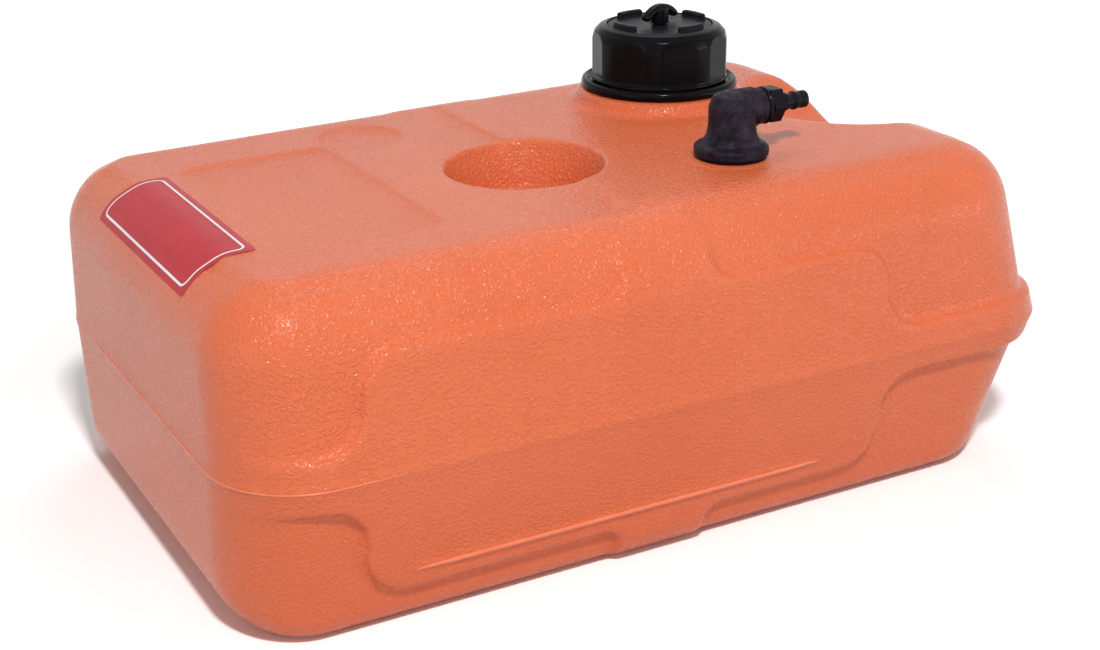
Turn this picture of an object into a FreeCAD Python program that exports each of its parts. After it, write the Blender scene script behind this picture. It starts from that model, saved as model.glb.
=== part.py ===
import FreeCAD, Part
import math
import os

import Sketcher

# Portable outboard fuel tank, in millimetres. X runs along the tank towards the filler and
# pick-up end, Y to the back, Z up. The origin is under the middle of the tank, on the ground.

V = FreeCAD.Vector
doc = FreeCAD.newDocument("fuel_tank")
sheet = doc.addObject("Spreadsheet::Sheet", "sizes")

SIZES = [
    # Moulded shell: main form
    ("half_length", 202, "half length at the waist, under the raised belt"),
    ("half_width", 127.5, "half width at the waist, under the raised fields"),
    ("top_height", 153.6, "height of the top at mid length"),
    ("top_rise", 7, "how much higher the top is at the filler end"),
    ("waist_height", 74, "height of the widest outline"),
    ("top_left_lean", 1, "lean of the left end above the waist"),
    ("top_right_lean", 21, "lean of the filler end above the waist"),
    ("top_side_lean", 6, "lean of each side above the waist"),
    ("foot_left_lean", 1, "lean of the left end below the waist"),
    ("foot_right_lean", 22, "lean of the filler end below the waist"),
    ("foot_side_lean", 10, "lean of each side below the waist"),
    ("corner_round", 36, "rounding of the upright corners"),
    ("top_round", 32, "rounding of the top edge"),
    ("foot_round", 13, "rounding of the foot edge"),
    ("left_foot_round", 26, "rounding of the foot edge at the left end"),
    ("wall", 3, "wall thickness of the shell"),
    ("room_top_bevel", 18, "bevel of the room's top edge"),
    ("room_foot_bevel", 13, "bevel of the room's foot edge"),
    ("seam_proud", 0.6, "how far the parting line stands proud, outside and inside"),
    ("seam_height", 1.2, "height of the parting line"),
    ("overshoot", 20, "how far a cutting shape reaches past what it cuts"),
    # Moulded shell: raised belt, side panels and middle band
    ("relief", 4, "how far the raised fields stand proud on the sides"),
    ("top_relief", 0.3, "how far the middle band stands proud on the top"),
    ("end_inset", 0.5, "how far the raised fields lie inside the flat left end"),
    ("belt_low", 62.5, "lower edge of the belt"),
    ("belt_high", 85.5, "upper edge of the belt"),
    ("panel_left", 154, "left edge of the side panel, from mid length"),
    ("panel_right", 99, "right edge of the side panel, from mid length"),
    ("panel_low", 19, "lower edge of the side panel"),
    ("panel_high", 125.5, "upper edge of the side panel"),
    ("panel_bend", 18, "radius of the panel's bends into the belt"),
    ("band_centre", 14.5, "middle of the band, left of mid length"),
    ("band_width", 44, "width of the band"),
    ("band_bend", 8, "radius of the band's bends into the panel"),
    ("line_height", 28, "height of the moulded line on the front panel"),
    ("line_left", 135, "left end of the moulded line, from mid length"),
    ("line_right", 67, "right end of the moulded line, from mid length"),
    ("line_radius", 1.1, "half width of the moulded line"),
    # Moulded shell: hollows in its surface
    ("bowl_x", 24, "centre of the round pocket, left of mid length"),
    ("bowl_y", 16, "centre of the round pocket, in front of mid width"),
    ("bowl_radius", 36, "radius of the round pocket at its mouth"),
    ("bowl_depth", 26, "depth of the round pocket"),
    ("bowl_draft", 6, "how much narrower the pocket is at its floor"),
    ("bowl_lip", 3, "rounding of the pocket's mouth"),
    ("bowl_floor_round", 10, "rounding round the pocket's floor"),
    ("field_left", 162, "left edge of the sunk top field, from mid length"),
    ("field_right", 90, "right edge of the sunk top field, from mid length"),
    ("field_half_width", 68, "half width of the sunk top field"),
    ("field_y", 5, "centre of the sunk top field, in front of mid width"),
    ("field_corner", 9, "corner radius of the sunk top field"),
    ("field_depth", 1, "depth of the sunk top field"),
    ("step_x", 15, "where the top steps down, left of mid length"),
    ("step_depth", 0.8, "depth of the top's step"),
    ("spot_x", 70, "centre of the sunk round spot, left of mid length"),
    ("spot_y", 66, "centre of the sunk round spot, behind mid width"),
    ("spot_radius", 21, "radius of the sunk round spot"),
    ("scoop_reach", 84, "how far the end scoop reaches in from the waist's end"),
    ("scoop_half_width", 57, "half width of the end scoop at the top"),
    ("scoop_depth", 29, "depth of the end scoop"),
    ("scoop_lip", 10, "rounding of the end scoop's rim"),
    ("grip_length", 50, "length of the finger grip between its round ends"),
    ("grip_radius", 14, "radius of the finger grip under the left end"),
    ("grip_bite", 19, "depth of the finger grip, in from the end"),
    ("grip_centre", 15, "centre of the finger grip, behind mid width"),
    # Filler neck and its collar
    ("cap_x", 89, "filler axis along the tank"),
    ("cap_y", 48.5, "filler axis behind mid width"),
    ("seat_rise", 7.8, "height of the neck's flat seat above the top at mid length"),
    ("seat_radius", 42, "radius of the seat round the neck"),
    ("seat_flare", 4.5, "radius of the flare from seat to tank top"),
    ("seat_round", 2.4, "rounding of the seat's edge"),
    ("neck_length", 23.6, "height of the neck above its seat"),
    ("neck_round", 1.2, "rounding of the neck's rim"),
    ("neck_radius", 29.4, "radius of the neck outside"),
    ("neck_bore", 24, "radius of the filler opening"),
    ("collar_radius", 39.75, "radius of the collar's rim"),
    ("collar_height", 5, "height of the collar's rim"),
    ("collar_web", 2.6, "thickness of the collar's flat web"),
    ("collar_inside", 35, "radius of the rim's inner side"),
    ("collar_gap", 0.6, "radial clearance between neck and collar"),
    ("seat_gap", 0.2, "gap between pieces that lie on each other"),
    # Filler cap
    ("cap_flats", 65.5, "width across the flats of the cap's grip"),
    ("cap_radius", 34, "radius of the cap's round corners"),
    ("cap_shoulder", 7, "rounding of the cap's shoulder"),
    ("cap_turn_angle", -14.6, "angle of the first flat"),
    ("cap_gap", 1.4, "gap between the collar's web and the cap"),
    ("cap_roof", 2.8, "thickness of the cap's roof under its disc"),
    ("cap_lip_radius", 34.5, "radius of the lip under the grip"),
    ("cap_lip_height", 1.8, "height of the lip under the grip"),
    ("thread_gap", 0.5, "radial clearance between neck and cap"),
    ("gasket_height", 2.4, "thickness of the cap's gasket"),
    ("disc_radius", 26.2, "radius of the cap's top disc"),
    ("disc_height", 2, "thickness of the cap's top disc"),
    ("disc_gap", 0.35, "gap round the cap's top disc"),
    ("disc_sink", 0.4, "how far the disc lies below the cap's top"),
    ("lug_count", 4, "number of lugs on the disc"),
    ("lug_height", 2.8, "height of the lugs on the disc"),
    ("lug_width", 3.8, "radial width of a lug"),
    ("lug_span", 38, "angle that a lug covers"),
    ("lug_angle", 9.4, "angle of the first lug"),
    ("lug_inset", 0.5, "distance from a lug to the disc's edge"),
    ("lug_corner", 1.5, "rounding of the lugs' upright corners"),
    ("lug_bevel", 0.8, "bevel of the lugs' tops"),
    # Vent screw in the cap
    ("vent_stem", 3, "radius of the vent screw's stem"),
    ("vent_gap", 0.3, "radial clearance round the vent screw"),
    ("vent_hub", 4.4, "radius of the vent knob's hub"),
    ("vent_hub_height", 7.5, "height of the vent knob's hub"),
    ("vent_lift", 0.3, "gap under the vent knob's hub"),
    ("vent_travel", 2.8, "room for the retaining clip below the cap's roof"),
    ("vent_tip", 2, "length of the vent screw below its clip"),
    ("vent_pocket", 1.6, "depth of the sealing ring's pocket in the disc"),
    ("wing_length", 25, "length of the vent knob's wing"),
    ("wing_width", 5.2, "width of the vent knob's wing"),
    ("wing_height", 3.6, "thickness of the vent knob's wing"),
    ("wing_bend", 16, "radius of the wing's arch"),
    ("wing_top", 9.6, "height of the wing's top above the hub's foot"),
    ("wing_bevel", 1.1, "bevel of the wing"),
    ("wing_angle", 16, "angle of the wing"),
    ("ring_wire", 0.8, "wire radius of the vent screw's sealing ring"),
    ("ring_gap", 0.2, "clearance round the vent screw's sealing ring"),
    ("clip_radius", 5.6, "radius of the vent screw's retaining clip"),
    ("clip_height", 1.2, "thickness of the retaining clip"),
    # Pick-up elbow
    ("pick_x", 58.5, "pick-up axis along the tank"),
    ("pick_y", -61, "pick-up axis, in front of mid width"),
    ("pad_height", 0.6, "height of the flat pad under the elbow"),
    ("pad_radius", 18.5, "radius of the flat pad"),
    ("pick_gasket", 1.5, "thickness of the elbow's gasket"),
    ("flange_radius", 17, "radius of the elbow's flange"),
    ("flange_height", 4.2, "height of the elbow's flange"),
    ("flange_round", 0.8, "rounding of the flange's edge"),
    ("barrel_radius", 10.8, "radius of the elbow's barrel"),
    ("bell_height", 9, "height of the elbow's flared foot"),
    ("elbow_height", 28.6, "height of the elbow above the gasket"),
    ("dome_radius", 7, "rounding of the elbow's top"),
    ("outlet_height", 19.9, "height of the outlet's axis above the gasket"),
    ("outlet_root", 9.1, "radius of the outlet near the barrel"),
    ("outlet_step", 11, "length of the outlet's wider part from the pick-up axis"),
    ("outlet_radius", 8.3, "radius of the outlet at its mouth"),
    ("outlet_reach", 14.8, "length of the outlet from the pick-up axis"),
    ("bore_radius", 4.2, "radius of the fuel passage in the elbow"),
    ("spigot_radius", 9, "radius of the elbow's spigot"),
    ("spigot_length", 13, "length of the elbow's spigot"),
    ("spigot_gap", 0.3, "radial clearance of the spigot in the tank"),
    ("sleeve_wall", 3.5, "wall of the sleeve that takes the spigot"),
    # Hose barb
    ("stub_radius", 5.6, "radius of the barb's stub inside the outlet"),
    ("stub_length", 8, "length of the barb's stub"),
    ("stub_gap", 0.2, "radial clearance of the stub in the outlet"),
    ("seal_wire", 1.45, "wire radius of the barb's sealing ring"),
    ("seal_gap", 0.15, "clearance of the barb's sealing ring all round"),
    ("hex_flats", 15, "width across flats of the barb's hexagon"),
    ("hex_length", 6.2, "length of the hexagon"),
    ("shank_radius", 3.6, "radius of the barb's shank"),
    ("crest_radius", 4.25, "radius of the barb's crests"),
    ("crest_first", 2.8, "distance from the hexagon to the first crest"),
    ("crest_pitch", 5.4, "distance between the barb's crests"),
    ("crest_land", 1.4, "length of each crest's flat land"),
    ("crest_slope", 2.2, "length of each crest's slope"),
    ("tip_radius", 4, "radius of the barb's tip"),
    ("tip_length", 3, "length of the barb's tip"),
    ("barb_length", 15.5, "length of the barb beyond the hexagon"),
    ("barb_bore", 2.5, "radius of the barb's bore"),
    # Pick-up tube and strainer
    ("tube_radius", 4.6, "radius of the pick-up tube"),
    ("tube_wall", 1, "wall of the pick-up tube"),
    ("tube_seat", 10, "depth of the tube's seat in the spigot"),
    ("tube_gap", 0.1, "radial clearance of the tube in its seats"),
    ("floor_gap", 4, "height of the strainer above the tank's floor"),
    ("cage_radius", 8, "radius of the strainer's cage"),
    ("cage_height", 26, "height of the strainer's cage"),
    ("cage_end", 3, "thickness of the cage's end rings"),
    ("cage_rib", 2, "width of the cage's ribs"),
    ("rib_count", 6, "number of the cage's ribs"),
    ("mesh_radius", 6.6, "radius of the strainer's mesh sleeve"),
    ("mesh_wall", 0.6, "thickness of the mesh sleeve"),
]

for row, (alias, value, note) in enumerate(SIZES, start=1):
    sheet.set("A%d" % row, note)
    sheet.set("B%d" % row, str(value))
    sheet.setAlias("B%d" % row, alias)
doc.recompute()

PLANES = {"top": "XY_Plane", "front": "XZ_Plane", "side": "YZ_Plane"}


def size(expression):
    """The number that an expression of the sheet's sizes gives."""
    result = sheet.evalExpression(expression)
    return float(getattr(result, "Value", result))


def bind(thing, **expressions):
    """Bind properties to the sheet; a double underscore stands for a dot."""
    for name, expression in expressions.items():
        thing.setExpression(name.replace("__", "."), expression)


def place(thing, x="0", y="0", z="0"):
    """Place an object by expressions."""
    bind(thing, Placement__Base__x=x, Placement__Base__y=y, Placement__Base__z=z)


def turn(thing, axis, expression):
    """Turn an object about an axis through its own origin."""
    thing.Placement = FreeCAD.Placement(thing.Placement.Base, FreeCAD.Rotation(axis, 1))
    bind(thing, Placement__Rotation__Angle=expression)


def new_body(name):
    """A body whose label is the name of its piece."""
    body = doc.addObject("PartDesign::Body", name)
    body.Label = name
    return body


def new_sketch(body, name, plane):
    """An empty sketch on one of the body's own origin planes."""
    sketch = body.newObject("Sketcher::SketchObject", name)
    origin_plane = [f for f in body.Origin.OriginFeatures if f.Role == PLANES[plane]][0]
    sketch.AttachmentSupport = [(origin_plane, "")]
    sketch.MapMode = "FlatFace"
    return sketch


def pin_point(sketch, geometry, end, x, y):
    """Hold one end of a piece of geometry at two expressions."""
    for kind, expression in (("DistanceX", x), ("DistanceY", y)):
        rule = Sketcher.Constraint(kind, -1, 1, geometry, end, size(expression))
        index = sketch.addConstraint(rule)
        sketch.setExpression("Constraints[%d]" % index, expression)


def outline(sketch, corners):
    """Draw a closed outline. A corner is (x, y), or (x, y, radius, side) where an arc ends
    there: side 1 bulges to the right of the way along it, and side -1 to the left."""
    before = corners[-1]
    for corner in corners:
        a = V(size(before[0]), size(before[1]), 0)
        b = V(size(corner[0]), size(corner[1]), 0)
        first, last = 1, 2
        if len(corner) == 2:
            edge = sketch.addGeometry(Part.LineSegment(a, b))
        else:
            chord = b - a
            right = V(chord.y, -chord.x, 0) / chord.Length
            radius = size(corner[2])
            inset = math.sqrt(max(radius ** 2 - (chord.Length / 2) ** 2, 0))
            centre = (a + b) / 2 - right * corner[3] * inset
            begin, end = a, b
            if corner[3] < 0:
                begin, end = b, a
                first, last = 2, 1
            angles = [math.atan2(p.y - centre.y, p.x - centre.x) for p in (begin, end)]
            angles[1] += 2 * math.pi * (angles[1] < angles[0])
            whole = Part.Circle(centre, V(0, 0, 1), radius)
            edge = sketch.addGeometry(Part.ArcOfCircle(whole, *angles))
            index = sketch.addConstraint(Sketcher.Constraint("Radius", edge, radius))
            sketch.setExpression("Constraints[%d]" % index, corner[2])
        pin_point(sketch, edge, first, before[0], before[1])
        pin_point(sketch, edge, last, corner[0], corner[1])
        before = corner
    return sketch


def circle(sketch, radius, x="0", y="0"):
    """Draw a circle."""
    centre = V(size(x), size(y), 0)
    edge = sketch.addGeometry(Part.Circle(centre, V(0, 0, 1), size(radius)))
    pin_point(sketch, edge, 3, x, y)
    index = sketch.addConstraint(Sketcher.Constraint("Radius", edge, size(radius)))
    sketch.setExpression("Constraints[%d]" % index, radius)
    return sketch


def rounded_box(sketch, left, right, low, high, corner):
    """Draw a rectangle with rounded corners."""
    near, far = "%s + %s" % (left, corner), "%s - %s" % (right, corner)
    below, above = "%s + %s" % (low, corner), "%s - %s" % (high, corner)
    return outline(sketch, [
        (far, low), (right, below, corner, 1),
        (right, above), (far, high, corner, 1),
        (near, high), (left, above, corner, 1),
        (left, below), (near, low, corner, 1),
    ])


def add(body, kind, name, sketch, **expressions):
    """Add a PartDesign feature that uses a sketch."""
    feature = body.newObject("PartDesign::" + kind, name)
    feature.Profile = sketch
    bind(feature, **expressions)
    sketch.Visibility = False
    return feature


def spin(body, kind, name, sketch, axis="V_Axis"):
    """Turn a sketch round one of its own axes, as added or removed material."""
    feature = add(body, kind, name, sketch)
    feature.ReferenceAxis = (sketch, [axis])
    feature.Angle = 360
    doc.recompute()
    return feature


def turned(name, corners, axis="V_Axis"):
    """A body turned from a half profile."""
    body = new_body(name)
    sketch = outline(new_sketch(body, name + "_profile", "front"), corners)
    spin(body, "Revolution", name + "_turned", sketch, axis)
    return body


def eased(start, end, hollow, chords):
    """Corners of a quarter round from one point to another, drawn as straight chords. The
    round bulges towards the corner at the start's x, or if hollow at the end's x."""
    middle = (start[0], end[1]) if hollow else (end[0], start[1])
    points = []
    for step in range(1, chords + 1):
        lean = 90 * step / chords
        points.append(tuple(
            "%s + ((%s) - (%s)) * %.5f + ((%s) - (%s)) * %.5f" % (
                m, a, m, math.cos(math.radians(lean)), b, m, math.sin(math.radians(lean)))
            for a, b, m in zip(start, end, middle)))
    return points


def disc(name, radius, bore, height):
    """A flat ring or disc lying on its own XY plane."""
    body = new_body(name)
    sketch = circle(new_sketch(body, name + "_outline", "top"), radius)
    if bore:
        circle(sketch, bore)
    add(body, "Pad", name + "_pad", sketch, Length=height)
    return body


def join(name, kind, pieces):
    """A boolean of several objects."""
    result = doc.addObject("Part::" + kind, name)
    if kind == "Cut":
        result.Base, result.Tool = pieces
    else:
        result.Shapes = pieces
    result.Refine = True
    doc.recompute()
    return result


def round_edges(name, base, numbers, radius, kind="Fillet"):
    """Round the numbered edges of an object."""
    finished = doc.addObject("Part::" + kind, name)
    finished.Base = base
    finished.Edges = [(number, radius, radius) for number in numbers]
    doc.recompute()
    return finished


def bevel_edges(name, base, numbers, leg):
    """Bevel the numbered edges of an object."""
    return round_edges(name, base, numbers, leg, "Chamfer")


def rim_of_radius(shape, radius):
    """Numbers of the edges where a round face of this radius meets any other face."""
    found = []
    for number, edge in enumerate(shape.Edges, start=1):
        faces = shape.ancestorsOfType(edge, Part.Face)
        same = [abs(getattr(face.Surface, "Radius", 0) - radius) < 0.001 for face in faces]
        if len(same) == 2 and same[0] != same[1]:
            found.append(number)
    return found


def top_at(x):
    """Height of the sloping top at a place along the tank."""
    return "(sizes.top_height + sizes.top_rise * (%s) / sizes.half_length / 2)" % x


def left_reach(grow):
    """How far the flat left end reaches: as far as the belt at the other end."""
    return "(sizes.half_length + sizes.relief + (%s))" % grow


def half_form(name, grow, left_grow, low, high, lean_at):
    """Half of the tank's main form, above or below its waist: four leaning walls."""
    wedge = doc.addObject("Part::Wedge", name)
    wedge.Placement = FreeCAD.Placement(V(0, 0, 0), FreeCAD.Rotation(V(1, 0, 0), 90))
    widest = (left_reach(left_grow), "sizes.half_length + (%s)" % grow,
              "sizes.half_width + (%s)" % grow)
    leant = ["%s - sizes.%s_%s_lean" % (reach, lean_at, end)
             for reach, end in zip(widest, ("left", "right", "side"))]
    lower, upper = (widest, leant) if lean_at == "top" else (leant, widest)
    bind(wedge, Ymin=low, Ymax=high,
         Xmin="-(%s)" % lower[0], Xmax=lower[1], Zmin="-(%s)" % lower[2], Zmax=lower[2],
         X2min="-(%s)" % upper[0], X2max=upper[1], Z2min="-(%s)" % upper[2], Z2max=upper[2])
    doc.recompute()
    return wedge


def upright_edges(shape):
    """Numbers of the edges that run up the corners."""
    found = []
    for number, edge in enumerate(shape.Edges, start=1):
        run = edge.valueAt(edge.LastParameter) - edge.valueAt(edge.FirstParameter)
        if abs(run.z) > run.Length / 2:
            found.append(number)
    return found


def rim_edges(shape, highest):
    """Numbers of the edges round the highest or the lowest flat face."""
    flat = [face for face in shape.Faces if abs(face.normalAt(0, 0).z) > 0.9]
    face = sorted(flat, key=lambda item: item.CenterOfMass.z)[-1 if highest else 0]
    return [number for number, edge in enumerate(shape.Edges, start=1)
            if any(edge.isSame(rim) for rim in face.Edges)]


def form(name, grow, left_grow, top_grow, floor):
    """The two halves of the tank's main form, grown or shrunk all round, with rounded upright
    corners. The walls lean in from the waist, and the top slopes up to the filler end."""
    corner = size("sizes.corner_round + (%s)" % grow)
    crown = "sizes.top_height + sizes.top_rise + (%s)" % top_grow
    upper = half_form(name + "_upper", grow, left_grow, "sizes.waist_height", crown, "top")
    above = doc.addObject("Part::Box", name + "_above_top")
    start = "(-sizes.half_length - sizes.overshoot)"
    bind(above, Length="-%s * 2" % start, Width="(sizes.half_width + sizes.overshoot) * 2",
         Height="sizes.top_rise + sizes.overshoot")
    turn(above, V(0, -1, 0), "atan(sizes.top_rise / sizes.half_length / 2)")
    place(above, start, "-sizes.half_width - sizes.overshoot",
          "%s + (%s)" % (top_at(start), top_grow))
    upper = join(name + "_upper_sloped", "Cut", [upper, above])
    lower = half_form(name + "_lower", grow, left_grow, floor, "sizes.waist_height", "foot")
    return [round_edges(half.Name + "_corners", half, upright_edges(half.Shape), corner)
            for half in (upper, lower)]


def way_round(vertex):
    """How far round the tank a vertex lies, counted from the right end by way of the back."""
    return math.atan2(vertex.Y, vertex.X) % (2 * math.pi)


def rounded_form(name, grow, left_grow, top_grow):
    """The main form with a rounded top edge, and a foot edge that is rounder at the left."""
    upper, lower = form(name, grow, left_grow, top_grow, "0")
    upper = round_edges(name + "_top_edge", upper, rim_edges(upper.Shape, True),
                        size("sizes.top_round + (%s)" % grow))
    edge, left_edge = size("sizes.foot_round + (%s)" % grow), size("sizes.left_foot_round")
    near_end = size("sizes.corner_round - %s" % left_reach(left_grow))
    foot = doc.addObject("Part::Fillet", name + "_foot_edge")
    foot.Base = lower
    foot.Edges = [
        (number, *[left_edge if end.X < near_end - edge else edge
                   for end in sorted(lower.Shape.Edges[number - 1].Vertexes, key=way_round)])
        for number in rim_edges(lower.Shape, False)
    ]
    doc.recompute()
    return join(name, "MultiFuse", [upper, foot])


def waist_slab(name, outlines):
    """A thin slab at the waist: the main form's outline grown all round and at the left end,
    and where two outlines are given, the frame between them."""
    body = new_body(name)
    sketch = new_sketch(body, name + "_outline", "top")
    for grow, left_grow in outlines:
        half = "sizes.half_width + (%s)" % grow
        rounded_box(sketch, "-" + left_reach(left_grow), "sizes.half_length + (%s)" % grow,
                    "-(%s)" % half, half, "(sizes.corner_round + (%s))" % grow)
    add(body, "Pad", name + "_pad", sketch, Length="sizes.seam_height")
    place(body, z="sizes.waist_height - sizes.seam_height / 2")
    return body


def raised_fields():
    """Belt, side panels and middle band: one outline in the side view that runs through the
    tank, kept only inside the grown main form."""
    skin = rounded_form("raised_skin", "sizes.relief", "-sizes.end_inset", "sizes.top_relief")
    body = new_body("raised_outline")
    end = "(sizes.half_length + sizes.overshoot)"
    left, right, bend = "-sizes.panel_left", "sizes.panel_right", "sizes.panel_bend"
    low, high = "sizes.panel_low", "sizes.panel_high"
    belt, crown = "sizes.belt_low", "sizes.belt_high"
    band_left = "-sizes.band_centre - sizes.band_width / 2"
    band_right = "-sizes.band_centre + sizes.band_width / 2"
    turn_in = "sizes.band_bend"
    under, over = "-sizes.overshoot", "sizes.top_height + sizes.top_rise + sizes.overshoot"

    def off(base, sign, step):
        return "%s %s %s" % (base, sign, step)

    sketch = outline(new_sketch(body, "raised_outline_sketch", "front"), [
        ("-" + end, belt),
        (off(left, "-", bend), belt), (left, off(belt, "-", bend), bend, -1),
        (left, off(low, "+", bend)), (off(left, "+", bend), low, bend, 1),
        (off(band_left, "-", turn_in), low), (band_left, off(low, "-", turn_in), turn_in, -1),
        (band_left, under), (band_right, under),
        (band_right, off(low, "-", turn_in)), (off(band_right, "+", turn_in), low, turn_in, -1),
        (off(right, "-", bend), low), (right, off(low, "+", bend), bend, 1),
        (right, off(belt, "-", bend)), (off(right, "+", bend), belt, bend, -1),
        (end, belt), (end, crown),
        (off(right, "+", bend), crown), (right, off(crown, "+", bend), bend, -1),
        (right, off(high, "-", bend)), (off(right, "-", bend), high, bend, 1),
        (off(band_right, "+", turn_in), high), (band_right, off(high, "+", turn_in), turn_in, -1),
        (band_right, over), (band_left, over),
        (band_left, off(high, "+", turn_in)), (off(band_left, "-", turn_in), high, turn_in, -1),
        (off(left, "+", bend), high), (left, off(high, "-", bend), bend, 1),
        (left, off(crown, "+", bend)), (off(left, "-", bend), crown, bend, -1),
        ("-" + end, crown),
    ])
    add(body, "Pad", "raised_outline_pad", sketch,
        Length="(sizes.half_width + sizes.overshoot) * 2")
    body.Tip.SideType = "Symmetric"
    doc.recompute()
    return join("raised_fields", "MultiCommon", [skin, body])


def bowl(name, grow):
    """The round pocket as a solid, or the solid with a wall round it."""
    rim = "sizes.bowl_radius + (%s)" % grow
    foot = "%s - sizes.bowl_draft" % rim
    floor = "-sizes.bowl_depth - (%s)" % grow
    floor_edge = ("%s - sizes.bowl_floor_round" % foot, floor)
    body = turned(name, [
        ("0", floor),
        floor_edge,
        *eased(floor_edge, (foot, "%s + sizes.bowl_floor_round" % floor), True, 3),
        (rim, "-sizes.bowl_lip"),
        *eased((rim, "-sizes.bowl_lip"), ("%s + sizes.bowl_lip" % rim, "0"), False, 2),
        ("%s + sizes.bowl_lip" % rim, "sizes.overshoot"),
        ("0", "sizes.overshoot"),
    ])
    lean_with_top(body, "-sizes.bowl_x", "-sizes.bowl_y", "sizes.top_relief")
    return body


def lean_with_top(body, x, y, rise):
    """Set a body on the sloping top, square to it."""
    turn(body, V(0, -1, 0), "atan(sizes.top_rise / sizes.half_length / 2)")
    place(body, x, y, "%s + (%s)" % (top_at(x), rise))


SCOOP_RADIUS = "(sizes.scoop_half_width ^ 2 + sizes.scoop_depth ^ 2) / sizes.scoop_depth / 2"


def scoop(name, grow):
    """The hollow at the filler end: a round bar with a ball end, lying along the tank."""
    radius = SCOOP_RADIUS
    start = "sizes.half_length - sizes.scoop_reach + sizes.scoop_half_width"
    grown = "%s + (%s)" % (radius, grow)
    body = turned(name, [
        ("0", grown, grown, -1),
        ("sizes.scoop_reach", grown),
        ("sizes.scoop_reach", "0"),
        ("-(%s)" % grown, "0"),
    ], "H_Axis")
    place(body, start, "0", "%s + %s - sizes.scoop_depth" % (top_at(start), radius))
    return body


def finger_grip(name, grow):
    """The hollow under the left end: a short bar with ball ends, lying across the tank."""
    body = new_body(name)
    radius = "sizes.grip_radius + (%s)" % grow
    half = "sizes.grip_length / 2"
    sketch = outline(new_sketch(body, name + "_profile", "side"), [
        ("-%s" % half, radius, radius, -1),
        (half, radius),
        ("%s + %s" % (half, radius), "0", radius, -1),
        ("-%s - (%s)" % (half, radius), "0"),
    ])
    spin(body, "Revolution", name + "_turned", sketch, "H_Axis")
    edge = "-(%s - sizes.foot_left_lean)" % left_reach("0")
    place(body, "%s + sizes.grip_bite - sizes.grip_radius" % edge, "sizes.grip_centre", "0")
    return body


PICK_FOOT = "(%s + sizes.pad_height + sizes.pick_gasket)" % top_at("sizes.pick_x")
NECK_SEAT = "(sizes.top_height + sizes.seat_rise)"


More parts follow.
